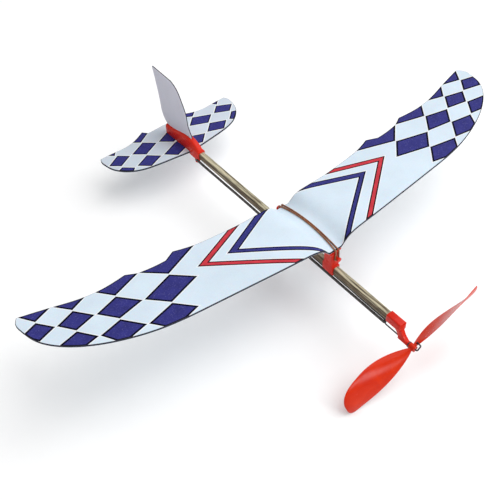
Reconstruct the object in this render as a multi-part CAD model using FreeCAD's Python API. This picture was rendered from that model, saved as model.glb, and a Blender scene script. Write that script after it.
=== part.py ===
import FreeCAD, Part
import math
import os

# A rubber band powered model plane: a wooden motor stick with push-on plastic fittings,
# foam flying surfaces, a twisted two-blade propeller and a rubber motor under the stick.
# Millimetres. While drawing, the stick's centreline is the Y axis, with the nose towards -Y,
# the plane's left wing towards +X and +Z up. place_on_ground() then moves the whole plane
# so that the origin is the middle of its bounding box, at the bottom.

V = FreeCAD.Vector
X_AXIS, Y_AXIS = V(1, 0, 0), V(0, 1, 0)

# Motor stick
STICK_W, STICK_H = 4.5, 5.5
STICK_FRONT, STICK_REAR = -103.0, 122.0
STICK_EDGE = 0.35

# Nose fitting: a socket on the stick, a gusset and a bearing tube on the thrust line
THRUST_Z = -10.6
NOSE_FRONT, NOSE_REAR = -105.0, -92.5
NOSE_WALL = 0.75
BEARING_FRONT, BEARING_REAR = -112.0, -103.5
BEARING_R = 1.9
GUSSET_W = 3.0
GUSSET_WAIST_Z = THRUST_Z / 2 - 0.6

# Propeller shaft: one bent wire
WIRE_R = 0.5
RUNNING_GAP = 0.05
HOOK_Y, HOOK_R = -91.5, 2.6
HOOK_LIP = 3.0
DOG_FORWARD, DOG_RADIUS, DOG_TURN = 1.7, 4.2, 38.0
BEND_R = 0.9

# Propeller
PROP_Y, PROP_R = -115.4, 60.0
PROP_TURN = 16.9
HUB_R, HUB_LENGTH = 2.2, 4.8
ROOT_PITCH, PITCH_PER_MM = 60.0, 0.76
AFT_CHORD, FORE_CHORD = 13.1, 7.8
BLADE_THICK, BLADE_CAMBER = 1.1, 0.07
WASHER_R, WASHER_T = 2.2, 0.8

# Foam surfaces
SPAN = 400.0
FOAM_T = 1.6
WING_TOP_Z = 23.0
WING_MID_Y = -14.0
WING_LE, WING_TE = -39.2, 16.8
SADDLE_CAMBER, OUTER_CAMBER = 4.4, 0.46
FREED_OVER, FLAT_OVER = 6.5, 3.0
SADDLE_HALF = 5.0
FIN_T = 1.5

# Wing mount
COLLAR_W, COLLAR_TOP, COLLAR_BOTTOM = 6.6, 4.0, -3.7
COLLAR_LENGTH = 10.0
MOUNT_FRONT, MOUNT_REAR = -40.0, 17.4
SLIDE_GAP = 0.08
SADDLE_T = 1.4
LEG_LENGTH, LEG_WALL = 8.5, 1.2
PRONG_R, PRONG_REACH = 1.1, 3.4
FRONT_PRONG_Z, REAR_PRONG_Z = 12.3, 13.6
BAND_R = 0.55

# Tail fitting
TAIL_FRONT, TAIL_SOCKET_REAR, TAIL_REAR = 112.5, 123.5, 156.5
TAIL_W = 6.0
RAIL_W = 5.4
RAIL_TOP_FRONT, RAIL_TOP_REAR = 9.2, 6.2
RAIL_BOTTOM = -2.2
CLAMP_T = 1.3
CLAMP_REAR = 150.0
TAIL_DROOP = -2.4
POST_Y, POST_R, POST_BOTTOM = 118.5, 1.0, -9.6

# Rubber motor: one flat endless loop
STRIP_T, STRIP_W = 0.8, 2.6
FRONT_LOOP_Z, REAR_LOOP_Z = THRUST_Z + HOOK_R, -6.6
LOOP_GAP = 0.3
HOOK_SEAT = 0.3


def box(x0, x1, y0, y1, z0, z1):
    return Part.makeBox(x1 - x0, y1 - y0, z1 - z0, V(x0, y0, z0))


def bar(width, z0, z1, y0, y1, corner):
    """A rectangular bar along Y, centred on X, with rounded long edges."""
    solid = box(-width / 2, width / 2, y0, y1, z0, z1)
    long_edges = [e for e in solid.Edges if abs(e.tangentAt(e.FirstParameter).y) > 0.9]
    return solid.makeFillet(corner, long_edges) if corner else solid


def rod(radius, start, end):
    axis = end - start
    return Part.makeCylinder(radius, axis.Length, start, axis)


def line(start, end):
    return Part.LineSegment(start, end).toShape()


def spline(points):
    curve = Part.BSplineCurve()
    curve.interpolate(Points=points)
    return curve.toShape()


def side_plate(points, width):
    """A plate centred on X whose outline is given by (y, z) points."""
    wire = Part.makePolygon([V(-width / 2, y, z) for y, z in points + points[:1]])
    return Part.Face(wire).extrude(V(width, 0, 0))


def rounded_path(points, radius):
    """Straight runs through points, joined by tangent arcs of one radius."""
    edges = []
    start = points[0]
    for before, corner, after in zip(points, points[1:], points[2:]):
        u = (before - corner).normalize()
        w = (after - corner).normalize()
        half = u.getAngle(w) / 2
        cut = radius / math.tan(half)
        middle_dir = (u + w).normalize()
        centre = corner + middle_dir * (radius / math.sin(half))
        arc_start, arc_end = corner + u * cut, corner + w * cut
        edges.append(line(start, arc_start))
        edges.append(Part.Arc(arc_start, centre - middle_dir * radius, arc_end).toShape())
        start = arc_end
    edges.append(line(start, points[-1]))
    return Part.Wire(edges)


def tube(path, radius):
    first = path.Edges[0]
    start = first.valueAt(first.FirstParameter)
    direction = first.tangentAt(first.FirstParameter)
    profile = Part.Wire([Part.makeCircle(radius, start, direction)])
    return path.makePipeShell([profile], True, False)


def fuselage_stick():
    stick = box(-STICK_W / 2, STICK_W / 2, STICK_FRONT, STICK_REAR, -STICK_H / 2, STICK_H / 2)
    long_edges = [e for e in stick.Edges if abs(e.tangentAt(e.FirstParameter).y) > 0.9]
    return stick.makeChamfer(STICK_EDGE, long_edges)


def stick_space(gap=0.0):
    """The room that a socket or collar leaves for the stick."""
    return box(-STICK_W / 2 - gap, STICK_W / 2 + gap, STICK_FRONT, STICK_REAR,
               -STICK_H / 2 - gap, STICK_H / 2 + gap)


def nose_bearing():
    socket = bar(STICK_W + 2 * NOSE_WALL, -STICK_H / 2 - NOSE_WALL, STICK_H / 2 + NOSE_WALL,
                 NOSE_FRONT, NOSE_REAR, 1.2)
    socket = socket.cut(box(-STICK_W / 2, STICK_W / 2, STICK_FRONT, NOSE_REAR + 1,
                            -STICK_H / 2, STICK_H / 2))
    bearing = rod(BEARING_R, V(0, BEARING_FRONT, THRUST_Z), V(0, BEARING_REAR, THRUST_Z))
    under = -STICK_H / 2 - NOSE_WALL / 2
    rear_curve = Part.Arc(V(0, NOSE_REAR - 4, under),
                          V(0, NOSE_FRONT + 3.4, GUSSET_WAIST_Z - 0.6),
                          V(0, BEARING_REAR, THRUST_Z + 0.4)).toShape()
    front_curve = Part.Arc(V(0, BEARING_FRONT + 0.8, THRUST_Z + 1),
                           V(0, NOSE_FRONT - 2.2, GUSSET_WAIST_Z),
                           V(0, NOSE_FRONT + 0.2, under + 2.6)).toShape()
    ends = [rear_curve.Vertexes[-1].Point, front_curve.Vertexes[0].Point,
            front_curve.Vertexes[-1].Point, rear_curve.Vertexes[0].Point]
    outline = Part.Wire([rear_curve, line(ends[0], ends[1]), front_curve, line(ends[2], ends[3])])
    gusset = Part.Face(outline).extrude(V(GUSSET_W, 0, 0))
    gusset.translate(V(-GUSSET_W / 2, 0, 0))
    gusset = gusset.cut(stick_space())
    bore = rod(WIRE_R + RUNNING_GAP,
               V(0, BEARING_FRONT - 1, THRUST_Z), V(0, BEARING_REAR + 1, THRUST_Z))
    return socket.fuse([gusset, bearing]).cut(bore).removeSplitter()


def prop_shaft():
    """Rear hook, straight shank, and a dog bent back into the propeller's hub."""
    angle = math.radians(DOG_TURN)
    radial = V(math.cos(angle), 0, math.sin(angle))
    axis = V(0, 0, THRUST_Z)
    nose = V(0, PROP_Y - HUB_LENGTH / 2 - DOG_FORWARD, 0) + axis
    shank_end = V(0, HOOK_Y, THRUST_Z)
    front = rounded_path([shank_end, nose, nose + radial * DOG_RADIUS,
                          nose + radial * DOG_RADIUS + Y_AXIS * (DOG_FORWARD + 2.2)], BEND_R)
    hook_arc = Part.Arc(shank_end, V(0, HOOK_Y + HOOK_R, THRUST_Z + HOOK_R),
                        V(0, HOOK_Y, THRUST_Z + 2 * HOOK_R)).toShape()
    lip = line(V(0, HOOK_Y, THRUST_Z + 2 * HOOK_R),
               V(0, HOOK_Y - HOOK_LIP, THRUST_Z + 2 * HOOK_R))
    rear = tube(Part.Wire([hook_arc, lip]), WIRE_R)
    return tube(front, WIRE_R).fuse(rear).removeSplitter()


def blade_half_chords(r):
    """Distances from the blade's pitch axis to its aft and its fore edge at radius r."""
    rise = math.sin(math.pi / 2 * min(1.0, r / 42.0))
    aft = AFT_CHORD * rise ** 0.9
    fore = FORE_CHORD * rise ** 0.7
    if r > 44.0:
        aft *= (1 - ((r - 44.0) / (PROP_R - 44.0)) ** 3) ** 0.4
    if r > 54.0:
        fore *= (1 - ((r - 54.0) / (PROP_R - 54.0)) ** 3) ** 0.4
    return aft, fore


def blade_section(r):
    """A closed section of the blade that points along -X, as a wire at radius r."""
    pitch = math.radians(ROOT_PITCH - PITCH_PER_MM * r)
    chord_dir = V(0, math.sin(pitch), math.cos(pitch))
    face_dir = V(0, -math.cos(pitch), math.sin(pitch))
    aft, fore = blade_half_chords(r)
    chord = aft + fore
    root = max(0.0, 1 - (r - 2.0) / 10.0)
    thick = BLADE_THICK * (0.75 + 1.4 * root)
    steps = 8
    upper, lower = [], []
    for i in range(steps + 1):
        t = 0.5 - 0.5 * math.cos(math.pi * i / steps)
        arch = 4 * t * (1 - t)
        middle = BLADE_CAMBER * chord * arch * (1 - root)
        half = thick / 2 * arch ** 0.4
        base = V(-r, 0, 0) + chord_dir * (-fore + chord * t)
        upper.append(base + face_dir * (middle + half))
        lower.append(base + face_dir * (middle - half))
    return Part.Wire([spline(upper), spline(lower[::-1])])


def blade():
    radii = [1.2, 4.0, 8.0, 14.0, 21.0, 29.0, 37.0, 44.0, 50.0, 54.5, 57.5, 59.2, 59.85]
    return Part.makeLoft([blade_section(r) for r in radii], True, False)


def propeller(shaft):
    hub = rod(HUB_R, V(0, -HUB_LENGTH / 2, 0), V(0, HUB_LENGTH / 2, 0))
    port = blade()
    starboard = port.copy()
    starboard.rotate(V(0, 0, 0), Y_AXIS, 180)
    prop = hub.fuse([port, starboard]).removeSplitter()
    prop.rotate(V(0, 0, 0), Y_AXIS, -PROP_TURN)
    prop.translate(V(0, PROP_Y, THRUST_Z))
    return prop.cut(shaft)


def thrust_washer():
    middle = (BEARING_FRONT + PROP_Y + HUB_LENGTH / 2) / 2
    ends = [V(0, middle + side * WASHER_T / 2, THRUST_Z) for side in (-1, 1)]
    return rod(WASHER_R, *ends).cut(rod(WIRE_R, *ends))


def wing_top(x, y):
    """Height of the wing's upper skin: held down on the saddle, then rising to the tips."""
    x = abs(x)
    beyond = max(0.0, x - SADDLE_HALF)
    freed = beyond ** 2 / (beyond ** 2 + FREED_OVER ** 2)
    out = x / (SPAN / 2)
    rise = 5.6 * freed + 5.3 * out ** 4
    incidence = 0.088 * (1 - math.exp(-beyond / 20.0)) - 0.062 * out ** 1.5
    flat = beyond ** 2 / (beyond ** 2 + FLAT_OVER ** 2)
    camber = OUTER_CAMBER + (SADDLE_CAMBER - OUTER_CAMBER) * (1 - flat)
    from_mid = y - WING_MID_Y
    return WING_TOP_Z + rise - incidence * from_mid - camber * (from_mid / 28.0) ** 2


def mirrored_outline(leading, trailing, tip_mid):
    """A closed plan outline from one side's leading edge, tip and trailing-edge runs."""
    tip_start, tip_end = V(*leading[-1], 0), V(*trailing[0][0], 0)
    half = [spline([V(*p, 0) for p in leading])]
    half.append(Part.Arc(tip_start, V(*tip_mid, 0), tip_end).toShape())
    for run in trailing:
        points = [V(*p, 0) for p in run]
        half.append(spline(points) if len(points) > 2 else line(*points))
    other = [e.mirror(V(0, 0, 0), X_AXIS) for e in half]
    return Part.Wire(Part.__sortEdges__(half + other))


def wing_outline():
    leading = [(0, WING_LE), (30, -38.4), (62, -35.5), (100, -31.4), (131, -27), (155, -19.8),
               (176, -9.8), (190, 0.8), (198.4, 12.5), (201.2, 24)]
    trailing = [[(198.2, 36.4), (178, 32), (160, 27.4), (144, 25.6), (125, 27.2)],
                [(125, 27.2), (117.5, 23)],
                [(117.5, 23), (107, 21.3), (97, 20.8)],
                [(97, 20.8), (88.5, 25)],
                [(88.5, 25), (76, 20.8), (58, 17.9), (38, 15.8), (0, WING_TE)]]
    return mirrored_outline(leading, trailing, (201.3, 31.6))


def foam_sheet(outline, top, x_reach, y_range, thickness):
    """A sheet of one vertical thickness under the surface top(x, y), trimmed to an outline."""
    x_steps, y_steps = 136, 8
    front, rear = y_range
    xs = [x_reach * (2 * i / x_steps - 1) for i in range(x_steps + 1)]
    ys = [front + (rear - front) * j / y_steps for j in range(y_steps + 1)]
    surface = Part.BSplineSurface()
    surface.interpolate([[V(x, y, top(x, y)) for y in ys] for x in xs])
    slab = surface.toShape().extrude(V(0, 0, -thickness))
    prism = Part.Face(outline).extrude(V(0, 0, 120))
    prism.translate(V(0, 0, -60))
    return slab.common(prism)


def wing():
    return foam_sheet(wing_outline(), wing_top, SPAN / 2 + 4, (-46, 42), FOAM_T)


def saddle_points(offset, past=0.0, count=10):
    """Points along the saddle, offset below the foam, running past its ends."""
    front, rear = MOUNT_FRONT + 0.8 - past, MOUNT_REAR - 0.4 + past
    return [V(0, y, wing_top(0, y) - FOAM_T - offset)
            for y in [front + (rear - front) * i / count for i in range(count + 1)]]


def wing_saddle():
    upper, lower = saddle_points(0.0), saddle_points(SADDLE_T)
    outline = Part.Wire([spline(upper), line(upper[-1], lower[-1]),
                         spline(lower[::-1]), line(lower[0], upper[0])])
    saddle = Part.Face(outline).extrude(V(2 * SADDLE_HALF, 0, 0))
    saddle.translate(V(-SADDLE_HALF, 0, 0))
    return saddle


def above_saddle():
    """The room over the saddle's middle surface, for trimming what stands under it."""
    middle, high = saddle_points(SADDLE_T / 2, past=3.0), V(0, 0, 20)
    corners = [middle[-1], middle[-1] + high, middle[0] + high, middle[0]]
    outline = Part.Wire([spline(middle)] + [line(*ends) for ends in zip(corners, corners[1:])])
    room = Part.Face(outline).extrude(V(2 * COLLAR_W, 0, 0))
    room.translate(V(-COLLAR_W, 0, 0))
    return room


def mount_leg(y0, y1, open_side):
    """A hollow leg over a collar, open towards open_side (+1 is rearwards)."""
    leg = bar(COLLAR_W, COLLAR_TOP - 1, WING_TOP_Z, y0, y1, 0)
    past = 2.0
    pocket_y = (y0 + LEG_WALL, y1 + past) if open_side > 0 else (y0 - past, y1 - LEG_WALL)
    pocket_x = COLLAR_W / 2 - LEG_WALL
    pocket_top = min(wing_top(0, y0), wing_top(0, y1)) - FOAM_T - SADDLE_T - LEG_WALL / 2
    pocket = box(-pocket_x, pocket_x, *pocket_y, COLLAR_TOP, pocket_top)
    corners = [e for e in leg.Edges if abs(e.tangentAt(e.FirstParameter).z) > 0.9]
    return leg.makeFillet(0.6, corners).cut(pocket)


def prong(y, z, direction):
    """A moulded peg for the wing band, with a head that keeps the band on."""
    root, end = V(0, y - direction, z), V(0, y + direction * PRONG_REACH, z)
    head = rod(PRONG_R + 0.7, end - Y_AXIS * direction * 0.9, end)
    return rod(PRONG_R, root, end).fuse(head)


def wing_mount():
    collars = [bar(COLLAR_W, COLLAR_BOTTOM, COLLAR_TOP, y, y + COLLAR_LENGTH, 0.8)
               for y in (MOUNT_FRONT - 0.8, MOUNT_REAR - COLLAR_LENGTH)]
    legs = [mount_leg(MOUNT_FRONT, MOUNT_FRONT + LEG_LENGTH, 1),
            mount_leg(MOUNT_REAR - LEG_LENGTH, MOUNT_REAR, -1)]
    prongs = [prong(MOUNT_FRONT, FRONT_PRONG_Z, -1), prong(MOUNT_REAR, REAR_PRONG_Z, 1)]
    rib = side_plate([(MOUNT_FRONT + 4, 14), (MOUNT_REAR - 4, 12.6),
                      (MOUNT_REAR - 4, WING_TOP_Z), (MOUNT_FRONT + 4, WING_TOP_Z)], 1.4)
    struts = [part.cut(above_saddle()) for part in legs + [rib]]
    mount = wing_saddle().fuse(collars + struts + prongs).removeSplitter()
    return mount.cut(stick_space(SLIDE_GAP))


def wing_band():
    """An endless round band under both prongs, whose two strands close up over the wing."""
    side = PRONG_R + BAND_R + 0.02
    front_y, rear_y = MOUNT_FRONT - BAND_R - 0.35, MOUNT_REAR + BAND_R + 0.35
    clear = BAND_R + 0.03
    half = (WING_TE - WING_LE) / 2 - 1.2
    middle_y = (WING_TE + WING_LE) / 2
    arch = []
    for share in (-1, -0.66, -0.33, 0, 0.33, 0.66, 1):
        y = middle_y + share * half
        arch.append(V(clear + 0.5 * share ** 2, y, wing_top(0, y) + clear))
    over = spline(arch)
    turn = 1.0

    def shoulder(parameter, y, z):
        """From an end of the arch, round the foam's edge and down to a prong."""
        start, slope = over.valueAt(parameter), over.tangentAt(parameter)
        corner = start + slope * ((y - start.y) / slope.y)
        path = rounded_path([start, corner, V(side, y, z)], turn)
        return path.Edges

    strand = shoulder(over.FirstParameter, front_y, FRONT_PRONG_Z) + [over]
    strand += shoulder(over.LastParameter, rear_y, REAR_PRONG_Z)
    other = [e.mirror(V(0, 0, 0), X_AXIS) for e in strand]
    under = [Part.Arc(V(side, y, z), V(0, y, z - side), V(-side, y, z)).toShape()
             for y, z in ((front_y, FRONT_PRONG_Z), (rear_y, REAR_PRONG_Z))]
    solids = [tube(Part.Wire(Part.__sortEdges__(part)), BAND_R) for part in (strand, other)]
    solids += [tube(Part.Wire([arc]), BAND_R) for arc in under]
    return solids[0].fuse(solids[1:]).removeSplitter()


def droop(shape):
    """Tilts what the tail rail carries, about the end of its socket."""
    shape.rotate(V(0, TAIL_SOCKET_REAR, 0), X_AXIS, TAIL_DROOP)
    return shape


def fin_plate():
    """The fin's side outline as a sheet on the plane's middle: swept, with a flat top."""
    leading = [(124.5, 11), (128.6, 18), (130.4, 28), (134.8, 37.5), (142, 47.6), (148, 50.7)]
    trailing = [(171.6, 51.4), (167.6, 36), (164.9, 22), (161.6, 9), (156.2, 3.4)]
    front = [V(-FIN_T / 2, y, z) for y, z in leading]
    rear = [V(-FIN_T / 2, y, z) for y, z in trailing]
    foot = [V(-FIN_T / 2, y, 0) for y in (trailing[-1][0], leading[0][0])]
    outline = [spline(front), line(front[-1], rear[0]), spline(rear)]
    outline += [line(rear[-1], foot[0]), line(foot[0], foot[1]), line(foot[1], front[0])]
    return Part.Face(Part.Wire(outline)).extrude(V(FIN_T, 0, 0))


def tail_mount():
    socket = bar(TAIL_W, -STICK_H / 2 - 0.8, STICK_H / 2 + 1.4, TAIL_FRONT, TAIL_SOCKET_REAR, 1.0)
    crown = [(TAIL_FRONT + 1, STICK_H / 2 + 1), (TAIL_FRONT + 4.5, RAIL_TOP_FRONT - 2.4),
             (TAIL_SOCKET_REAR - 1, RAIL_TOP_FRONT), (139, 8.1), (TAIL_REAR, RAIL_TOP_REAR)]
    ridge = [V(-RAIL_W / 2, y, z) for y, z in crown]
    base = [V(-RAIL_W / 2, y, RAIL_BOTTOM) for y in (TAIL_REAR, TAIL_SOCKET_REAR - 3)]
    outline = Part.Wire([spline(ridge), line(ridge[-1], base[0]), line(*base), line(base[1], ridge[0])])
    rail = Part.Face(outline).extrude(V(RAIL_W, 0, 0))
    top_edges = [e for e in rail.Edges if e.Length > 40 and e.BoundBox.ZMin > RAIL_BOTTOM + 1]
    rail = droop(rail.makeFillet(1.9, top_edges))
    clamp_top = RAIL_BOTTOM - FOAM_T
    clamp = droop(bar(RAIL_W, clamp_top - CLAMP_T, clamp_top, TAIL_SOCKET_REAR - 5, CLAMP_REAR, 0.5))
    throat = bar(RAIL_W, clamp_top - CLAMP_T, RAIL_BOTTOM, POST_Y - 2.2, TAIL_SOCKET_REAR, 0)
    post = rod(POST_R, V(0, POST_Y, RAIL_BOTTOM), V(0, POST_Y, POST_BOTTOM))
    head = rod(POST_R + 0.8, V(0, POST_Y, POST_BOTTOM), V(0, POST_Y, POST_BOTTOM + 0.9))
    mount = socket.fuse([rail, clamp, throat, post, head]).removeSplitter()
    slot = box(-FIN_T / 2, FIN_T / 2, 124.5, TAIL_REAR + 5, 0, 20)
    return mount.cut([stick_space(), slot])


def stabilizer():
    leading = [(0, 124.2), (14, 126.2), (32, 128.8), (46, 132.8), (55.2, 139.6),
               (60.6, 148), (62.2, 156)]
    trailing = [[(60.8, 163.4), (50, 163.3), (38, 162.7), (28, 165), (17.5, 170.2)],
                [(17.5, 170.2), (14, 165.8)],
                [(14, 165.8), (0, 166.4)]]
    outline = mirrored_outline(leading, trailing, (62.2, 160.6))
    sheet = Part.Face(outline).extrude(V(0, 0, -FOAM_T))
    sheet.translate(V(0, 0, RAIL_BOTTOM))
    return droop(sheet)


def rubber_motor():
    """A flat strip in a loop round the shaft's hook and the tail post."""
    front_y, front_r = HOOK_Y + HOOK_R - HOOK_SEAT, WIRE_R + LOOP_GAP + STRIP_T / 2
    rear_y, rear_r = POST_Y, POST_R + LOOP_GAP + STRIP_T / 2
    distance = rear_y - front_y
    lean = math.asin((rear_r - front_r) / distance)

    def around(offset):
        """The outline of the loop's middle line, moved outwards by offset."""
        corners = []
        for side in (1, -1):
            out = V(side * math.cos(lean), -math.sin(lean), 0)
            corners.append((out * (front_r + offset), V(0, distance, 0) + out * (rear_r + offset)))
        (f1, r1), (f2, r2) = corners
        front_tip = V(0, -front_r - offset, 0)
        rear_tip = V(0, distance + rear_r + offset, 0)
        return Part.Wire([line(f1, r1), Part.Arc(r1, rear_tip, r2).toShape(),
                          line(r2, f2), Part.Arc(f2, front_tip, f1).toShape()])

    outer, inner = Part.Face(around(STRIP_T / 2)), Part.Face(around(-STRIP_T / 2))
    ring = outer.cut(inner).extrude(V(0, 0, STRIP_W))
    ring.translate(V(0, 0, -STRIP_W / 2))
    climb = math.degrees(math.atan2(REAR_LOOP_Z - FRONT_LOOP_Z, distance))
    ring.rotate(V(0, 0, 0), X_AXIS, climb)
    ring.translate(V(0, front_y, FRONT_LOOP_Z))
    return ring


def place_on_ground(shapes):
    """Moves every shape so that the plane's box is centred in plan and stands on z = 0."""
    whole = Part.makeCompound(list(shapes.values())).optimalBoundingBox(False, False)
    shift = V(0, -(whole.YMin + whole.YMax) / 2, -whole.ZMin)
    for shape in shapes.values():
        shape.translate(shift)
    return shift


def build():
    shaft = prop_shaft()
    return {
        "fuselage_stick": fuselage_stick(),
        "nose_bearing": nose_bearing(),
        "prop_shaft": shaft,
        "propeller": propeller(shaft),
        "thrust_washer": thrust_washer(),
        "rubber_motor": rubber_motor(),
        "wing_mount": wing_mount(),
        "wing": wing(),
        "wing_band": wing_band(),
        "tail_mount": tail_mount(),
        "stabilizer": stabilizer(),
        "fin": fin_plate(),
    }


os.makedirs("parts", exist_ok=True)
nodes = build()
offset = place_on_ground(nodes)
for name, shape in nodes.items():
    shape.exportStep(f"parts/{name}.step")
    b = shape.optimalBoundingBox(False, False)
    print(f"{name}: valid {shape.isValid()}, solids {len(shape.Solids)}, volume {shape.Volume:.1f}, "
          f"x {b.XMin:.2f}..{b.XMax:.2f}, y {b.YMin:.2f}..{b.YMax:.2f}, z {b.ZMin:.2f}..{b.ZMax:.2f}")
print(f"moved by y {offset.y:.3f}, z {offset.z:.3f}")
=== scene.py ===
import math

import bmesh
import bpy
import numpy as np
from mathutils import Matrix, Vector, noise
from mathutils.geometry import delaunay_2d_cdt


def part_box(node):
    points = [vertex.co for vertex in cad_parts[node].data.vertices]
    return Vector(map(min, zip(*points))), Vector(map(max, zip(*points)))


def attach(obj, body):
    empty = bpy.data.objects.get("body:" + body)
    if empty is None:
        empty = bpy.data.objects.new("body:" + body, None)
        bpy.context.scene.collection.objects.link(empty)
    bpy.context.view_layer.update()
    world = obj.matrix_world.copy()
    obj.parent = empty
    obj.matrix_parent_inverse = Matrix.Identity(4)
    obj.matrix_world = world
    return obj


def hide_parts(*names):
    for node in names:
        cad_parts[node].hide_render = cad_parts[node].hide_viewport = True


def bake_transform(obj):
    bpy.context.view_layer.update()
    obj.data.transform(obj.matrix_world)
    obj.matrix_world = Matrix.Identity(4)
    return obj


# A rubber band powered model plane. Lengths below are millimetres in the drawing frame, which part.py
# shares: the stick's centreline is the Y axis, the nose points to -Y, and the plane's left wing to +X.

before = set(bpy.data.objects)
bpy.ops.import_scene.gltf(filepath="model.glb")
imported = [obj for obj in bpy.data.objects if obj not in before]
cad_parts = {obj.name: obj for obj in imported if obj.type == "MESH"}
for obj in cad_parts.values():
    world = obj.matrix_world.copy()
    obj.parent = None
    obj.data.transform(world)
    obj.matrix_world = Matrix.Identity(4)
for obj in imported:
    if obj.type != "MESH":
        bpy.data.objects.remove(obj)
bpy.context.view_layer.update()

MM = 0.001
STICK_FRONT, STICK_REAR = -103.0, 122.0
STICK_W, STICK_H = 4.5, 5.5
stick_low, stick_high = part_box("fuselage_stick")
DRAWING_TO_FRAME = Vector((0.0, stick_low.y - STICK_FRONT * MM, (stick_low.z + stick_high.z) / 2))


def at(x, y, z):
    """A point of the drawing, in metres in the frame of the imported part."""
    return Vector((x, y, z)) * MM + DRAWING_TO_FRAME


# ---------------------------------------------------------------- materials

class Shader:
    """One Principled material with its pattern worked out in millimetres of the object's own space."""

    def __init__(self, name, roughness=0.5, **inputs):
        self.material = bpy.data.materials.new(name)
        self.material.use_nodes = True
        self.tree = self.material.node_tree
        self.bsdf = self.tree.nodes["Principled BSDF"]
        self.bsdf.inputs["Roughness"].default_value = roughness
        for key, value in inputs.items():
            self.bsdf.inputs[key.replace("_", " ")].default_value = value
        self.coords = self.tree.nodes.new("ShaderNodeTexCoord").outputs["Object"]

    def link(self, output, socket):
        self.tree.links.new(output, socket)

    def space(self, scale=(1, 1, 1)):
        """Object space in millimetres, multiplied by scale."""
        node = self.tree.nodes.new("ShaderNodeMapping")
        node.inputs["Scale"].default_value = [s / MM for s in scale]
        self.link(self.coords, node.inputs["Vector"])
        return node.outputs["Vector"]

    def noise(self, size, detail=3.0, stretch=(1, 1, 1), roughness=0.55, distortion=0.0):
        """Noise whose grain is about size millimetres."""
        node = self.tree.nodes.new("ShaderNodeTexNoise")
        node.inputs["Scale"].default_value = 1.0
        node.inputs["Detail"].default_value = detail
        node.inputs["Roughness"].default_value = roughness
        node.inputs["Distortion"].default_value = distortion
        self.link(self.space([k / size for k in stretch]), node.inputs["Vector"])
        return node.outputs["Fac"]

    def across(self):
        """The X coordinate in millimetres."""
        node = self.tree.nodes.new("ShaderNodeSeparateXYZ")
        self.link(self.space(), node.inputs["Vector"])
        return node.outputs["X"]

    def beads(self, size):
        """Distance to the nearest border between foam beads, in bead widths."""
        node = self.tree.nodes.new("ShaderNodeTexVoronoi")
        node.feature = "DISTANCE_TO_EDGE"
        node.inputs["Scale"].default_value = 1.0
        self.link(self.space([1 / size] * 3), node.inputs["Vector"])
        return node.outputs["Distance"]

    def ramp(self, value, *stops):
        """Colours or greys at positions of value, in order."""
        node = self.tree.nodes.new("ShaderNodeValToRGB")
        elements = node.color_ramp.elements
        while len(elements) < len(stops):
            elements.new(0.5)
        for element, (position, colour) in zip(elements, stops):
            element.position = position
            grey = isinstance(colour, (int, float))
            element.color = (colour,) * 3 + (1,) if grey else (*colour, 1)
        self.link(value, node.inputs["Fac"])
        return node.outputs["Color"]

    def mix(self, a, b, share, blend="MIX"):
        """a and b blended by share; each may be a colour or a socket, and share a number or a socket."""
        node = self.tree.nodes.new("ShaderNodeMix")
        node.data_type = "RGBA"
        node.blend_type = blend
        inputs = {"Factor": node.inputs[0], "A": node.inputs[6], "B": node.inputs[7]}
        for key, value in (("Factor", share), ("A", a), ("B", b)):
            if isinstance(value, bpy.types.NodeSocket):
                self.link(value, inputs[key])
            elif key == "Factor":
                inputs[key].default_value = value
            else:
                inputs[key].default_value = (*value, 1)
        return node.outputs[2]

    def weighted_sum(self, value, other, weight, offset):
        """value + other * weight + offset, for two sockets and two numbers."""
        product = self.tree.nodes.new("ShaderNodeMath")
        product.operation = "MULTIPLY_ADD"
        product.inputs[1].default_value = weight
        self.link(other, product.inputs[0])
        self.link(value, product.inputs[2])
        shifted = self.tree.nodes.new("ShaderNodeMath")
        shifted.operation = "ADD"
        shifted.inputs[1].default_value = offset
        self.link(product.outputs[0], shifted.inputs[0])
        return shifted.outputs[0]

    def colour(self, value):
        """Base colour from a socket."""
        self.link(value, self.bsdf.inputs["Base Color"])

    def rough(self, value):
        """Roughness from a socket."""
        self.link(value, self.bsdf.inputs["Roughness"])

    def bump(self, height, depth, strength=1.0):
        """Bumps of that depth in millimetres; several calls add up."""
        node = self.tree.nodes.new("ShaderNodeBump")
        node.inputs["Strength"].default_value = strength
        node.inputs["Distance"].default_value = depth * MM
        before = self.bsdf.inputs["Normal"].links
        if before:
            self.link(before[0].from_socket, node.inputs["Normal"])
        self.link(height, node.inputs["Height"])
        self.link(node.outputs["Normal"], self.bsdf.inputs["Normal"])


def shade(colour, factor):
    """A colour made lighter or darker."""
    return tuple(min(1.0, c * factor) for c in colour)


BEAD, EDGE_BEAD = 1.6, 0.8


def foam(name, colour, cell=BEAD):
    """Thin foam sheet: faint pressed beads under a smooth skin."""
    s = Shader(name, Specular_IOR_Level=0.25, Subsurface_Weight=0.08, Subsurface_Scale=MM)
    clouds = s.ramp(s.noise(26), (0.35, shade(colour, 0.965)), (0.65, shade(colour, 1.03)))
    borders = s.ramp(s.beads(cell), (0.0, 0.93), (0.10, 1.0))
    s.colour(s.mix(clouds, borders, 0.55, "MULTIPLY"))
    s.rough(s.ramp(s.noise(3), (0.3, 0.52), (0.7, 0.70)))
    s.bump(s.ramp(s.beads(cell), (0.0, 0.0), (0.16, 1.0)), 0.03, 0.5)
    s.bump(s.noise(9, 2), 0.12, 0.5)
    return s.material


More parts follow.
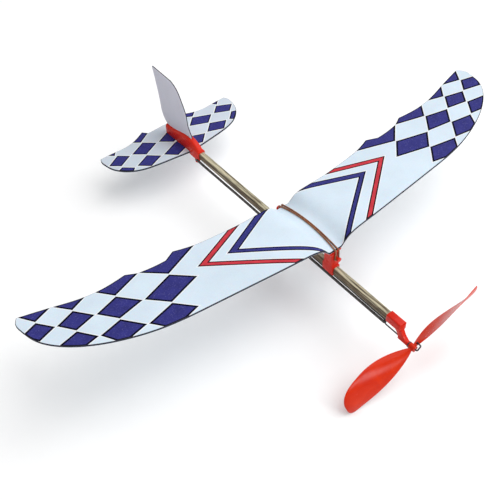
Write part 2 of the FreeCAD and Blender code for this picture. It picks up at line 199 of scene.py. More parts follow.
def ink(name, colour, light, speckle=0.60, gloss=0.15):
    """Ink printed on foam: mottled, with pinholes where the beads show through."""
    s = Shader(name, Specular_IOR_Level=gloss)
    tone = s.ramp(s.noise(5), (0.3, shade(colour, 0.86)), (0.7, shade(colour, 1.18)))
    flecks = s.ramp(s.noise(0.9, 4, roughness=0.7), (speckle, 0.0), (speckle + 0.16, 1.0))
    s.colour(s.mix(tone, light, flecks))
    s.rough(s.ramp(s.noise(2), (0.3, 0.38), (0.7, 0.55)))
    s.bump(s.ramp(s.beads(BEAD), (0.0, 0.0), (0.16, 1.0)), 0.03, 0.4)
    return s.material


def plastic(name, colour, roughness=(0.20, 0.30)):
    """Injection moulded gloss plastic with faint flow marks."""
    s = Shader(name, Specular_IOR_Level=0.15)
    flow = s.noise(14, 3, stretch=(1, 0.5, 1), distortion=0.6)
    warm = (min(1, colour[0] * 1.08), colour[1] * 1.7, colour[2] * 1.25)
    s.colour(s.ramp(flow, (0.3, shade(colour, 0.90)), (0.72, warm)))
    s.rough(s.ramp(s.noise(4, 4), (0.3, roughness[0]), (0.7, roughness[1])))
    s.bump(s.noise(7, 2), 0.05, 0.5)
    s.bump(s.noise(0.5, 2), 0.006, 0.5)
    return s.material


# Where the painted shade down the stick's -X side would end if it ran straight, and how far the grain
# carries it across
SHADE_EDGE_X, SHADE_WANDER = -1.3, 1.6


def wood(name, light, dark):
    """Sawn softwood with its grain along Y, and painted shade down its -X side, dark with grain."""
    s = Shader(name, Specular_IOR_Level=0.3)
    fibres = s.noise(0.8, 5, stretch=(1, 0.05, 1), roughness=0.65)
    bands = s.noise(2.0, 4, stretch=(1, 0.05, 1), distortion=0.5)
    pores = s.noise(0.45, 3, stretch=(1, 0.10, 1))
    base = s.ramp(bands, (0.36, dark), (0.50, light), (0.68, shade(light, 1.15)))
    # Painted shade: the -X side, away from the key light, is darkened with dark fibres; ring is its share
    shade_side_reach = s.weighted_sum(s.across(), bands, SHADE_WANDER, -SHADE_EDGE_X)
    ring = s.ramp(shade_side_reach, (0.0, 1.0), (0.35, 0.0))
    base = s.mix(base, s.ramp(fibres, (0.35, shade(dark, 0.5)), (0.6, shade(dark, 1.5))), ring)
    streaked = s.mix(base, s.ramp(fibres, (0.36, 0.35), (0.55, 1.0)), 0.8, "MULTIPLY")
    s.colour(s.mix(streaked, s.ramp(pores, (0.30, 0.35), (0.40, 1.0)), 0.7, "MULTIPLY"))
    s.rough(s.ramp(fibres, (0.3, 0.72), (0.7, 0.55)))
    s.bump(fibres, 0.10, 0.7)
    s.bump(pores, 0.05, 0.5)
    return s.material


def rubber(name, colour, light, roughness=(0.42, 0.62)):
    """Strip rubber with a little talc left on it."""
    s = Shader(name, Specular_IOR_Level=0.4)
    dust = s.ramp(s.noise(1.3, 4, stretch=(1, 0.4, 1)), (0.45, 0.0), (0.75, 0.6))
    tone = s.ramp(s.noise(6), (0.3, shade(colour, 0.8)), (0.7, shade(colour, 1.2)))
    s.colour(s.mix(tone, light, dust))
    s.rough(s.ramp(s.noise(1.5), (0.3, roughness[0]), (0.7, roughness[1])))
    s.bump(s.noise(0.6, 3, stretch=(1, 0.2, 1)), 0.03, 0.5)
    return s.material


def steel(name):
    """Drawn spring wire, darkened, with fine lines along it."""
    s = Shader(name, Metallic=1.0)
    drawn = s.noise(0.25, 3, stretch=(1, 0.08, 1))
    s.colour(s.ramp(drawn, (0.3, (0.03, 0.03, 0.035)), (0.7, (0.09, 0.09, 0.10))))
    s.rough(s.ramp(s.noise(1.2), (0.3, 0.24), (0.7, 0.40)))
    s.bump(drawn, 0.01, 0.5)
    return s.material


foam_skin = foam("foam_skin", (0.60, 0.70, 0.79))
foam_white = foam("foam_white", (0.76, 0.79, 0.82))
# Near-black painted shade for the foam sheets' cut edges and side walls
edge_shade_foam = foam("edge_shade_foam", (0.02, 0.02, 0.035), EDGE_BEAD)
foam_fin = foam("foam_fin", (0.60, 0.60, 0.68))
foam_tail = foam("foam_tail", (0.55, 0.61, 0.68))
ink_blue = ink("ink_blue", (0.024, 0.024, 0.17), (0.11, 0.11, 0.30), 0.56)
ink_dark = ink("ink_dark", (0.002, 0.002, 0.010), (0.01, 0.01, 0.04), 0.75, 0.05)
ink_red = ink("ink_red", (0.50, 0.030, 0.045), (0.62, 0.17, 0.18), 0.62)
ink_maroon = ink("ink_maroon", (0.012, 0.002, 0.006), (0.08, 0.01, 0.02), 0.72, 0.05)
red_plastic = plastic("red_plastic", (0.62, 0.016, 0.007))
prop_plastic = plastic("prop_plastic", (0.56, 0.016, 0.001), (0.20, 0.28))
stick_wood = wood("stick_wood", (0.50, 0.45, 0.31), (0.12, 0.085, 0.048))
motor_rubber = rubber("motor_rubber", (0.016, 0.011, 0.009), (0.06, 0.045, 0.035))
band_rubber = rubber("band_rubber", (0.22, 0.07, 0.024), (0.45, 0.26, 0.14), (0.30, 0.45))
wire_steel = steel("wire_steel")


# ---------------------------------------------------------------- meshes

def in_scene(name, data):
    """A new object with that data, linked to the scene."""
    obj = bpy.data.objects.new(name, data)
    bpy.context.scene.collection.objects.link(obj)
    return obj


def piece(name, body, node, vertices, faces, materials, face_materials=None):
    """A new smooth object that stands for a CAD node and rides on a body, or on none if it is blended."""
    mesh = bpy.data.meshes.new(name)
    mesh.from_pydata([tuple(v) for v in vertices], [], faces)
    for material in materials:
        mesh.materials.append(material)
    if face_materials:
        mesh.polygons.foreach_set("material_index", face_materials)
    mesh.polygons.foreach_set("use_smooth", [True] * len(mesh.polygons))
    mesh.validate()
    mesh.update()
    obj = in_scene(name, mesh)
    if body:
        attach(obj, body)
    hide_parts(node)
    return obj


def spline_points(points, step):
    """Points about step apart on the natural cubic spline through points, over chord length."""
    p = np.array(points, float)
    knots = np.r_[0, np.cumsum(np.linalg.norm(np.diff(p, axis=0), axis=1))]
    n = len(p)
    h = np.diff(knots)
    system, right = np.eye(n), np.zeros_like(p)
    for i in range(1, n - 1):
        system[i, i - 1:i + 2] = h[i - 1], 2 * (h[i - 1] + h[i]), h[i]
        right[i] = 6 * ((p[i + 1] - p[i]) / h[i] - (p[i] - p[i - 1]) / h[i - 1])
    bend = np.linalg.solve(system, right)
    out = []
    for t in np.linspace(0, knots[-1], max(2, int(knots[-1] / step) + 1)):
        i = min(int(np.searchsorted(knots, t, side="right")) - 1, n - 2)
        a, b = knots[i + 1] - t, t - knots[i]
        out.append((bend[i] * a ** 3 + bend[i + 1] * b ** 3) / (6 * h[i])
                   + (p[i] / h[i] - bend[i] * h[i] / 6) * a
                   + (p[i + 1] / h[i] - bend[i + 1] * h[i] / 6) * b)
    return out


def run_points(run, step=2.5):
    """A run of an outline: a straight line between two points, or a smooth curve through more."""
    if len(run) > 2:
        return spline_points(run, step)
    a, b = np.array(run[0], float), np.array(run[1], float)
    count = max(1, int(np.linalg.norm(b - a) / step))
    return [a + (b - a) * i / count for i in range(count + 1)]


def anticlockwise(loop):
    """The closed loop, turned round if it runs clockwise."""
    x, y = loop.T
    return loop if np.sum(x * np.roll(y, -1) - y * np.roll(x, -1)) > 0 else loop[::-1]


SAME_POINT = 0.05


def outline_points(runs):
    """One anticlockwise loop through all runs, without repeated points."""
    loop = []
    for run in runs:
        for p in run_points(run):
            if not loop or np.linalg.norm(p - loop[-1]) > SAME_POINT:
                loop.append(np.array(p, float))
    if np.linalg.norm(loop[0] - loop[-1]) < SAME_POINT:
        loop.pop()
    return anticlockwise(np.array(loop))


def mirrored(loop):
    """The same points on the other side of the plane."""
    return [(-x, y) for x, y in loop]


def both_sides(runs):
    """Runs of the +X half, from the front's middle to the rear's middle, and their mirror image."""
    return runs + [mirrored(run[::-1]) for run in runs[::-1]]


def divided(corners, step=3.0):
    """An anticlockwise loop through the corners, with edges longer than step divided."""
    loop = anticlockwise(np.array(corners, float))
    out = []
    for a, b in zip(loop, np.roll(loop, -1, axis=0)):
        count = max(1, int(np.linalg.norm(b - a) / step))
        out.extend(a + (b - a) * i / count for i in range(count))
    return np.array(out)


def inset(loop, distance):
    """An anticlockwise loop moved inwards, or outwards where distance is negative."""
    ahead = np.roll(loop, -1, axis=0) - loop
    ahead /= np.linalg.norm(ahead, axis=1)[:, None]
    normal = np.stack([-ahead[:, 1], ahead[:, 0]], 1)
    before = np.roll(normal, 1, axis=0)
    both = normal + before
    both /= np.linalg.norm(both, axis=1)[:, None]
    reach = distance / np.maximum(0.5, (both * normal).sum(1))
    return loop + both * reach[:, None]


def inside(points, loop):
    """For each point, whether it lies in the closed loop."""
    x, y = points[:, 0][:, None], points[:, 1][:, None]
    x0, y0 = loop[:, 0], loop[:, 1]
    x1, y1 = np.roll(x0, -1), np.roll(y0, -1)
    crosses = (y0 > y) != (y1 > y)
    with np.errstate(divide="ignore", invalid="ignore"):
        where = x0 + (y - y0) * (x1 - x0) / (y1 - y0)
    return (crosses & (x < where)).sum(1) % 2 == 1


def distance_to(points, loop):
    """For each point, how far it is from the loop's line."""
    nearest = np.full(len(points), np.inf)
    for start, along in zip(loop, np.roll(loop, -1, axis=0) - loop):
        t = np.clip(((points - start) @ along) / (along @ along), 0, 1)
        nearest = np.minimum(nearest, np.linalg.norm(points - start - t[:, None] * along, axis=1))
    return nearest


# The materials of a foam sheet, in the order of its material list. The edge one is near-black painted
# shade on the sheet's cut edge and side walls
SKIN, WHITE, EDGE_SHADE, BLUE, DARK, RED, MAROON = range(7)
# Radius of the sheet's rounded edge, width of the painted shade along its cut edge, and of the rim that
# no fill reaches
EDGE_ROUND, SHADE_BAND, EDGE_LINE = 0.45, 0.4, 1.0
# Outlines of the checks and of the stripes, and the white left around every print
CHECK_LINE, STRIPE_LINE, KEYLINE = 1.35, 0.9, 0.7
# The sheet's first ring of points in from the edge, and how far the grid of points stays clear of it
FIRST_RING, FIELD_CLEAR = 0.10, 1.6
# The triangulation fills the whole hull, and joins points nearer than this
HULL_TRIANGLES, JOIN_UNDER = 0, 1e-4
# Spacing of the points inside the large sheets and the fin
SHEET_GRID, FIN_GRID = 4.0, 3.5


def print_rings(prints):
    """For each print the loops of its halo, itself and its fill, then its fill and line materials."""
    rings = []
    for loop, fill, line, width in prints:
        outer = divided(loop)
        rings.append((inset(outer, -KEYLINE), outer, inset(outer, width), fill, line))
    return rings


def sheet_field(outline, grid):
    """Points of a staggered grid inside the outline, clear of its edge."""
    low, high = outline.min(0), outline.max(0)
    across = np.arange(low[0] - grid, high[0] + grid, grid)
    along = np.arange(low[1] - grid, high[1] + grid, grid)
    shift = grid / 2
    field = np.array([(u + shift * (row % 2), v) for row, v in enumerate(along) for u in across])
    field = field[inside(field, outline)]
    return field[distance_to(field, outline) > FIELD_CLEAR]


def face_centres(flat, faces):
    """The middle of each face."""
    return np.array([flat[list(face)].mean(0) for face in faces])


def flat_mesh(outline, rings, grid):
    """Points and faces of the flat sheet, which follow the outline, its insets and the prints."""
    points, edges = [], []
    loops = [outline] + [inset(outline, d) for d in (FIRST_RING, SHADE_BAND, EDGE_ROUND, EDGE_LINE)]
    loops += [loop for ring in rings for loop in ring[:3]]
    for loop in loops:
        start, count = len(points), len(loop)
        points.extend(tuple(p) for p in loop)
        edges.extend((start + i, start + (i + 1) % count) for i in range(count))
    points.extend(tuple(p) for p in sheet_field(outline, grid))
    made = delaunay_2d_cdt([Vector(p) for p in points], edges, [], HULL_TRIANGLES, JOIN_UNDER, False)
    flat = np.array([tuple(v) for v in made[0]])
    faces = [tuple(face) for face in made[2]]
    kept = inside(face_centres(flat, faces), outline)
    faces = [face for face, keep in zip(faces, kept) if keep]
    used = sorted({i for face in faces for i in face})
    order = {i: k for k, i in enumerate(used)}
    return flat[used], [tuple(order[i] for i in face) for face in faces]


def printed_materials(centres, outline, rings):
    """The material number of each face of the upper skin."""
    number = np.full(len(centres), SKIN)
    rim = ~inside(centres, inset(outline, EDGE_LINE))
    for halo, _, _, _, _ in rings:
        number[inside(centres, halo)] = WHITE
    for _, outer, inner, fill, line in rings:
        within = inside(centres, outer)
        number[within] = line
        number[within & inside(centres, inner) & ~rim] = fill
    # The outermost band of the upper skin takes the painted edge shade
    number[~inside(centres, inset(outline, SHADE_BAND))] = EDGE_SHADE
    return list(number)


def open_edges(faces):
    """The edges that only one face has."""
    edges = {(a, b): None for face in faces for a, b in zip(face, face[1:] + face[:1])}
    return [(a, b) for a, b in edges if (b, a) not in edges]


def sheet_mesh(name, body, node, outline, prints, place, thickness, materials, grid):
    """A foam sheet with rounded edges, printed on its upper skin. Each print is a loop, the materials
    inside it and on its outline, and the outline's width. place(u, v, w) puts a point of the sheet
    in the scene, w up from its middle. materials are the slot's name, which is not used, and the list
    of materials."""
    rings = print_rings(prints)
    flat, faces = flat_mesh(outline, rings, grid)
    depth = np.maximum(0, EDGE_ROUND - distance_to(flat, outline))
    drop = EDGE_ROUND - np.sqrt(np.maximum(0, EDGE_ROUND ** 2 - depth ** 2))
    top = [place(u, v, thickness / 2 - d) for (u, v), d in zip(flat, drop)]
    bottom = [place(u, v, -thickness / 2 + d) for (u, v), d in zip(flat, drop)]
    count = len(flat)
    lower = [tuple(i + count for i in face[::-1]) for face in faces]
    sides = [(b, a, a + count, b + count) for a, b in open_edges(faces)]
    numbers = printed_materials(face_centres(flat, faces), outline, rings)
    # The side walls take the painted edge shade
    numbers += [SKIN] * len(lower) + [EDGE_SHADE] * len(sides)
    slot, sheet_materials = materials
    piece(name, body, node, top + bottom, faces + lower + sides, sheet_materials, numbers)


# ---------------------------------------------------------------- wing

SPAN, FOAM_T = 400.0, 1.6
WING_TOP_Z, WING_MID_Y, HALF_CHORD = 23.0, -14.0, 28.0
# In the middle the band holds the foam down on the arched saddle; outwards it rises and flattens. Its
# chord tilts nose up as it comes free, and less towards the tip.
SADDLE_HALF, SADDLE_CAMBER, OUTER_CAMBER = 5.0, 4.4, 0.46
FREED_OVER, FLAT_OVER = 6.5, 3.0
FREED_RISE, TIP_RISE = 5.6, 5.3
INCIDENCE, INCIDENCE_OVER, WASHOUT = 0.088, 20.0, 0.062


def wing_top(x, y):
    """Height of the wing's upper skin, as in part.py."""
    x = abs(x)
    beyond = max(0.0, x - SADDLE_HALF)
    freed = beyond ** 2 / (beyond ** 2 + FREED_OVER ** 2)
    out = x / (SPAN / 2)
    rise = FREED_RISE * freed + TIP_RISE * out ** 4
    incidence = INCIDENCE * (1 - math.exp(-beyond / INCIDENCE_OVER)) - WASHOUT * out ** 1.5
    flat = beyond ** 2 / (beyond ** 2 + FLAT_OVER ** 2)
    camber = OUTER_CAMBER + (SADDLE_CAMBER - OUTER_CAMBER) * (1 - flat)
    from_mid = y - WING_MID_Y
    return WING_TOP_Z + rise - incidence * from_mid - camber * (from_mid / HALF_CHORD) ** 2


WING_RUNS = [
    [(0, -39.2), (30, -38.4), (62, -35.5), (100, -31.4), (131, -27), (155, -19.8), (176, -9.8),
     (190, 0.8), (198.4, 12.5), (201.2, 24)],
    [(201.2, 24), (201.3, 31.6), (198.2, 36.4)],
    [(198.2, 36.4), (178, 32), (160, 27.4), (144, 25.6), (125, 27.2)],
    [(125, 27.2), (117.5, 23)],
    [(117.5, 23), (107, 21.3), (97, 20.8)],
    [(97, 20.8), (88.5, 25)],
    [(88.5, 25), (76, 20.8), (58, 17.9), (38, 15.8), (0, 16.8)],
]
# Corners of the checks: row from the root's front to the tip's rear, column from the root outwards
NET = {(-1, 2): (104.3, -27.0), (-1, 3): (127, -32.8), (0, 1): (89.5, -5.4), (0, 2): (115.9, -13.5),
       (0, 3): (137.4, -18.6), (0, 4): (157.5, -22.8), (1, 0): (60, 25.4), (1, 1): (102.9, 8.4),
       (1, 2): (128.2, 0.0), (1, 3): (148.5, -4.2), (1, 4): (165.6, -8.2), (1, 5): (181.5, -11.6),
       (2, 0): (94, 30.7), (2, 1): (117.2, 22.4), (2, 2): (140.0, 14.3), (2, 3): (158.3, 8.5),
       (2, 4): (174.5, 3.9), (2, 5): (189.5, 0.0), (3, 1): (129.7, 37.0), (3, 2): (150.5, 28.0),
       (3, 3): (167.6, 20.6), (3, 4): (182.5, 14.8), (3, 5): (196.5, 9.4), (4, 2): (160, 39.5),
       (4, 3): (176.5, 31.6), (4, 4): (190.8, 25.5), (4, 5): (204.0, 20.0), (5, 3): (184, 44),
       (5, 4): (199, 38)}
CHECKS = [(-1, 2), (0, 1), (0, 3), (1, 0), (1, 2), (1, 4), (2, 1), (2, 3), (3, 2), (3, 4), (4, 3)]
CHECK_GAP = 0.3
# Where the arrowheads' widths are measured, near the wing's edges, and where they run out, off the sheet
STRIPE_FRONT_Y, STRIPE_REAR_Y = -38.2, 16.2
OFF_FRONT_Y, OFF_REAR_Y = -42.0, 20.0


def check_loop(row, column):
    """One printed check: the cell of the net between two rows and two columns, a little smaller."""
    corners = [NET[row, column], NET[row, column + 1], NET[row + 1, column + 1], NET[row + 1, column]]
    return inset(anticlockwise(np.array(corners, float)), CHECK_GAP)


def along_line(point, direction, y):
    """Where the line through point reaches y."""
    return point + direction * ((y - point[1]) / direction[1])


def chevron_loop(front, rear, vertex):
    """An arrowhead stripe: its inner and outer x at the wing's front and rear, and its outer corner."""
    inner_front, outer_front = (np.array((x, STRIPE_FRONT_Y)) for x in front)
    inner_rear, outer_rear = (np.array((x, STRIPE_REAR_Y)) for x in rear)
    outer_corner = np.array(vertex)
    to_front, to_rear = outer_front - outer_corner, outer_rear - outer_corner
    share = np.linalg.solve(np.stack([to_front, -to_rear], 1), inner_rear - inner_front)
    inner_corner = inner_front + to_front * share[0]
    return [along_line(outer_front, to_front, OFF_FRONT_Y), outer_corner,
            along_line(outer_rear, to_rear, OFF_REAR_Y), along_line(inner_rear, to_rear, OFF_REAR_Y),
            inner_corner, along_line(inner_front, to_front, OFF_FRONT_Y)]


WING_FOAM = [foam_skin, foam_white, edge_shade_foam, ink_blue, ink_dark, ink_red, ink_maroon]
wing_prints = [(check_loop(*cell), BLUE, DARK, CHECK_LINE) for cell in CHECKS]
wing_prints.append((chevron_loop((27.6, 34.3), (37.2, 49.3), (84.9, 1.6)), RED, MAROON, STRIPE_LINE))
wing_prints.append((chevron_loop((8.0, 14.4), (11.6, 23.9), (63.0, -1.6)), BLUE, DARK, STRIPE_LINE))
wing_prints += [(mirrored(loop), *rest) for loop, *rest in wing_prints]


def place_wing(u, v, w):
    """A point of the wing's sheet, u across and v along the plane."""
    return at(u, v, wing_top(u, v) - FOAM_T / 2 + w)


sheet_mesh("wing_foam", "wing_group", "wing", outline_points(both_sides(WING_RUNS)), wing_prints,
           place_wing, FOAM_T, ("printed_foam", WING_FOAM), SHEET_GRID)

# ---------------------------------------------------------------- tail surfaces

TAIL_SOCKET_REAR, TAIL_DROOP = 123.5, math.radians(-2.4)
RAIL_BOTTOM = -2.2
FIN_T = 1.5


def droop(y, z):
    """Tilt of what the tail rail carries."""
    c, s = math.cos(TAIL_DROOP), math.sin(TAIL_DROOP)
    behind = y - TAIL_SOCKET_REAR
    return TAIL_SOCKET_REAR + behind * c - z * s, behind * s + z * c


def place_stabilizer(u, v, w):
    """A point of the stabilizer's sheet, which hangs under the tail rail."""
    return at(u, *droop(v, RAIL_BOTTOM - FOAM_T / 2 + w))


STAB_RUNS = [
    [(0, 124.2), (14, 126.2), (32, 128.8), (46, 132.8), (55.2, 139.6), (60.6, 148), (62.2, 156)],
    [(62.2, 156), (62.2, 160.6), (60.8, 163.4)],
    [(60.8, 163.4), (50, 163.3), (38, 162.7), (28, 165), (17.5, 170.2)],
    [(17.5, 170.2), (14, 165.8)],
    [(14, 165.8), (0, 166.4)],
]
STAB_CHECKS = [
    [(0.4, 157.5), (14.2, 151.0), (5.2, 143.0), (0.4, 145.0)],
    [(0.4, 142.6), (5.6, 141.4), (20.2, 135.2), (12.0, 127.2), (0.4, 131.5)],
    [(24.5, 158.7), (16.2, 151.0), (30.4, 144.4), (39.0, 151.8)],
    [(30.8, 143.4), (22.4, 135.4), (35.4, 130.0), (43.5, 137.6)],
    [(48.6, 158.2), (41.2, 151.4), (53.0, 145.4), (60.4, 151.8)],
    [(16.5, 173.0), (14.0, 166.2), (25.6, 159.6), (33.6, 166.2)],
    [(53.4, 143.9), (46.0, 137.0), (52.0, 131.5), (62.5, 140.5)],
    [(44.5, 166.0), (50.4, 159.4), (57.0, 165.8)],
]
TAIL_FOAM = [foam_tail] + WING_FOAM[1:]
stab_prints = [(corners, BLUE, DARK, STRIPE_LINE) for corners in STAB_CHECKS]
stab_prints += [(mirrored(loop), *rest) for loop, *rest in stab_prints]
sheet_mesh("stabilizer_foam", "fuselage", "stabilizer", outline_points(both_sides(STAB_RUNS)),
           stab_prints, place_stabilizer, FOAM_T, ("printed_foam", TAIL_FOAM), SHEET_GRID)

FIN_RUNS = [
    [(124.5, 0), (124.5, 11)],
    [(124.5, 11), (128.6, 18), (130.4, 28), (134.8, 37.5), (142, 47.6), (148, 50.7)],
    [(148, 50.7), (171.6, 51.4)],
    [(171.6, 51.4), (167.6, 36), (164.9, 22), (161.6, 9), (156.2, 3.4)],
    [(156.2, 3.4), (156.2, 0)],
    [(156.2, 0), (124.5, 0)],
]


def place_fin(u, v, w):
    """A point of the upright fin's sheet, u along the plane and v up."""
    return at(w, u, v)


sheet_mesh("fin_foam", "fuselage", "fin", outline_points(FIN_RUNS), [], place_fin, FIN_T,
           ("plain_foam", [foam_fin, foam_fin, edge_shade_foam]), FIN_GRID)


# ---------------------------------------------------------------- tubes and strips

def swept(name, body, node, rings, material, closed):
    """A strip or stick through rings of points. If closed, its last ring meets its first, else it is
    capped."""
    width = len(rings[0])
    vertices = [p for ring in rings for p in ring]
    faces = []
    for i in range(len(rings) if closed else len(rings) - 1):
        j = (i + 1) % len(rings)
        for k in range(width):
            n = (k + 1) % width
            faces.append((i * width + k, i * width + n, j * width + n, j * width + k))
    if not closed:
        faces.append(tuple(range(width))[::-1])
        faces.append(tuple((len(rings) - 1) * width + k for k in range(width)))
    return piece(name, body, node, vertices, faces, [material])


# ---------------------------------------------------------------- motor stick

STICK_SIDES, STICK_RINGS = 28, 260
# How far the last few rings lie from the stick's ends
END_RINGS, FIRST_OF_RINGS = (0.02, 0.25), 1
# The stick's section is a superellipse of this power: a rectangle with small round corners
CORNER_POWER = 9.0
# Marks of the saw: how far they shrink the section, and how often they come across and along the grain
WEAR, WEAR_ACROSS, WEAR_ALONG = 0.015, 1.4, 0.06
SCRATCH, SCRATCH_ACROSS, SCRATCH_ALONG = 0.006, 5.0, 0.12


def stick_section(y):
    """A rounded rectangle with sawn, slightly uneven faces."""
    ring = []
    for k in range(STICK_SIDES):
        angle = 2 * math.pi * (k + 0.5) / STICK_SIDES
        c, s = math.cos(angle), math.sin(angle)
        r = (abs(c) ** CORNER_POWER + abs(s) ** CORNER_POWER) ** (-1 / CORNER_POWER)
        x, z = c * r * STICK_W / 2, s * r * STICK_H / 2
        wear = noise.noise(Vector((x * WEAR_ACROSS, y * WEAR_ALONG, z * WEAR_ACROSS)))
        scratch = noise.noise(Vector((x * SCRATCH_ACROSS, y * SCRATCH_ALONG, z * SCRATCH_ACROSS)))
        shrink = 1 - WEAR + WEAR * wear + SCRATCH * scratch
        ring.append(at(x * shrink, y, z * shrink))
    return ring


stick_y = [STICK_FRONT + d for d in END_RINGS]
stick_y += list(np.linspace(STICK_FRONT + FIRST_OF_RINGS, STICK_REAR - FIRST_OF_RINGS, STICK_RINGS))
stick_y += [STICK_REAR - d for d in reversed(END_RINGS)]
swept("motor_stick", "fuselage", "fuselage_stick", [stick_section(y) for y in stick_y],
      stick_wood, False)

# ---------------------------------------------------------------- pieces from the CAD shapes

WELD = 0.002
FLAT_ANGLE, BEVEL_ANGLE, SHARP_ANGLE = math.radians(0.3), math.radians(32), math.radians(38)
BEVEL_SEGMENTS = 2
MOULDED_EDGE, METAL_EDGE = 0.12, 0.08


def from_cad(name, node, body, material, bevel=0.0):
    """The CAD node's own shape, welded and with softly rounded edges."""
    bm = bmesh.new()
    bm.from_mesh(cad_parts[node].data)
    bmesh.ops.remove_doubles(bm, verts=bm.verts, dist=WELD * MM)
    bmesh.ops.dissolve_limit(bm, angle_limit=FLAT_ANGLE, verts=bm.verts, edges=bm.edges)
    if bevel:
        sharp = [e for e in bm.edges if len(e.link_faces) == 2 and e.calc_face_angle(0) > BEVEL_ANGLE]
        bmesh.ops.bevel(bm, geom=sharp, offset=bevel * MM, segments=BEVEL_SEGMENTS, profile=0.5,
                        affect="EDGES", clamp_overlap=True)
    bmesh.ops.triangulate(bm, faces=[f for f in bm.faces if len(f.verts) > 4])
    mesh = bpy.data.meshes.new(name)
    bm.to_mesh(mesh)
    bm.free()
    mesh.materials.append(material)
    mesh.polygons.foreach_set("use_smooth", [True] * len(mesh.polygons))
    mesh.set_sharp_from_angle(angle=SHARP_ANGLE)
    obj = in_scene(name, mesh)
    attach(obj, body)
    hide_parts(node)


from_cad("nose_fitting", "nose_bearing", "fuselage", red_plastic, MOULDED_EDGE)
from_cad("wing_fitting", "wing_mount", "wing_group", red_plastic, MOULDED_EDGE)
from_cad("tail_fitting", "tail_mount", "fuselage", red_plastic, MOULDED_EDGE)
from_cad("propeller_moulding", "propeller", "propeller_group", prop_plastic)
from_cad("shaft_wire", "prop_shaft", "propeller_group", wire_steel)
from_cad("washer_metal", "thrust_washer", "propeller_group", wire_steel, METAL_EDGE)
from_cad("hold_down_band", "wing_band", "wing_group", band_rubber)

# ---------------------------------------------------------------- rubber motor

STRIP_T, STRIP_W = 0.8, 2.6
# The strip's turns round the hook and the post: y, z and radius
HOOK_END = (-89.2, -8.0, 1.2)
POST_END = (118.5, -6.6, 1.7)
TURN_STEPS, STRAND_STEPS = 14, 150
# How much the free strands waver sideways and up, and how far from the ends they start to
WAVER, LIFT, HELD_OVER = 0.18, 0.22, 12.0


def motor_loop():
    """Middle line of the flat loop: x, y, z and the outward direction's x and y, in the drawing."""
    (hook_y, hook_z, hook_r), (post_y, post_z, post_r) = HOOK_END, POST_END
    length = post_y - hook_y
    lean = math.asin((post_r - hook_r) / length)
    stations = []

    def add(centre_y, radius, angle):
        c, s = math.cos(angle), math.sin(angle)
        y = centre_y + radius * s
        z = hook_z + (post_z - hook_z) * ((y - hook_y) / length)
        stations.append((radius * c, y, z, c, s))

    for i in range(TURN_STEPS + 1):
        add(post_y, post_r, -lean + (math.pi + 2 * lean) * i / TURN_STEPS)
    for i in range(1, STRAND_STEPS):
        share = i / STRAND_STEPS
        add(post_y + (hook_y - post_y) * share, post_r + (hook_r - post_r) * share, math.pi + lean)
    for i in range(TURN_STEPS + 1):
        add(hook_y, hook_r, math.pi + lean + (math.pi - 2 * lean) * i / TURN_STEPS)
    for i in range(1, STRAND_STEPS):
        share = i / STRAND_STEPS
        add(hook_y + length * share, hook_r + (post_r - hook_r) * share, -lean)
    return stations


def motor_section(x, y, z, c, s):
    """The strip's section at a station: a rectangle with cut corners, which wavers where it is free.
    Each strand and each direction has a row of the noise to itself."""
    free = max(0.0, min(1.0, min(y - HOOK_END[0], POST_END[0] - y) / HELD_OVER))
    side = 1 if x > 0 else -1
    waver = WAVER * free * noise.noise(Vector((side * 4.0, y * 0.045, 2.0)))
    lift = LIFT * free * noise.noise(Vector((side * 9.0, y * 0.035, 5.0)))
    ring = []
    for u, w in ((1, -0.8), (1, 0.8), (0.8, 1), (-0.8, 1), (-1, 0.8), (-1, -0.8), (-0.8, -1), (0.8, -1)):
        out = u * STRIP_T / 2 + waver
        ring.append(at(x + c * out, y + s * out, z + w * STRIP_W / 2 + lift))
    return ring


motor_rings = [motor_section(*station) for station in motor_loop()]
motor = swept("rubber_loop", None, "rubber_motor", motor_rings, motor_rubber, True)
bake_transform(motor)

# ---------------------------------------------------------------- floor, light and camera

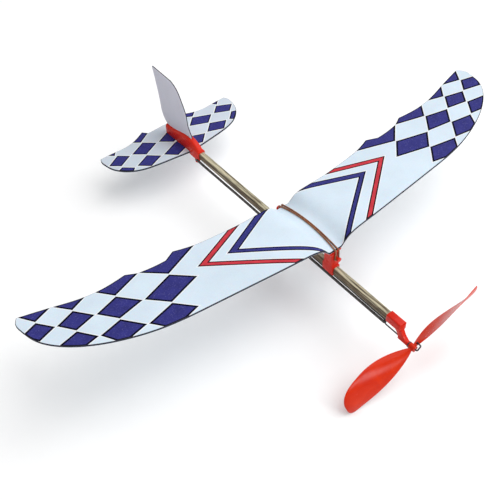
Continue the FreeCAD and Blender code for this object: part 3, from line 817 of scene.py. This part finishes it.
FLOOR_HALF, FLOOR_DROP = 6.0, 0.5
floor_shader = Shader("floor_paper", 0.9, Specular_IOR_Level=0.1)
floor_shader.colour(floor_shader.ramp(floor_shader.noise(60), (0.3, (0.93,) * 3), (0.7, (0.96,) * 3)))
floor_corners = [(x * FLOOR_HALF, y * FLOOR_HALF, 0) for x, y in ((-1, -1), (1, -1), (1, 1), (-1, 1))]
floor_mesh = bpy.data.meshes.new("floor")
floor_mesh.from_pydata(floor_corners, [], [(0, 1, 2, 3)])
floor_mesh.materials.append(floor_shader.material)
floor = in_scene("floor", floor_mesh)
floor.location.z = -FLOOR_DROP * MM


def area_light(name, location, target, size, power):
    """A white round light that faces target. Metres and watts."""
    light = bpy.data.lights.new(name, "AREA")
    light.shape = "DISK"
    light.size = size
    light.energy = power
    obj = in_scene(name, light)
    obj.location = location
    obj.rotation_euler = (Vector(target) - Vector(location)).to_track_quat("-Z", "Y").to_euler()


area_light("key", (0.75, -0.35, 1.45), (0, 0, 0), 2.2, 26)
area_light("front", (0.31, -1.08, 0.41), (0, -0.12, 0), 0.28, 2.2)
WORLD_STRENGTH = 0.58
world = bpy.data.worlds.new("studio")
world.use_nodes = True
background = world.node_tree.nodes["Background"]
background.inputs["Color"].default_value = (1, 1, 1, 1)
background.inputs["Strength"].default_value = WORLD_STRENGTH
bpy.context.scene.world = world
bpy.context.scene.view_settings.view_transform = "Standard"

CAMERA = Vector((-0.3030, -0.3568, 0.5060))
AZIMUTH, ELEVATION, ROLL = math.radians(-38.2), math.radians(47.3), math.radians(-0.96)
SENSOR, LENS = 36.0, 65.95
CLIP_NEAR, CLIP_FAR = 0.01, 20
forward = Vector((-math.sin(AZIMUTH) * math.cos(ELEVATION), math.cos(AZIMUTH) * math.cos(ELEVATION),
                  -math.sin(ELEVATION)))
level_right = forward.cross(Vector((0, 0, 1))).normalized()
level_up = level_right.cross(forward)
right = level_right * math.cos(ROLL) + level_up * math.sin(ROLL)
up = level_up * math.cos(ROLL) - level_right * math.sin(ROLL)
camera_data = bpy.data.cameras.new("camera")
camera_data.sensor_width = SENSOR
camera_data.lens = LENS
camera_data.clip_start = CLIP_NEAR
camera_data.clip_end = CLIP_FAR
camera = in_scene("camera", camera_data)
camera.matrix_world = Matrix((
    (right.x, up.x, -forward.x, CAMERA.x), (right.y, up.y, -forward.y, CAMERA.y),
    (right.z, up.z, -forward.z, CAMERA.z), (0, 0, 0, 1)))
bpy.context.scene.camera = camera
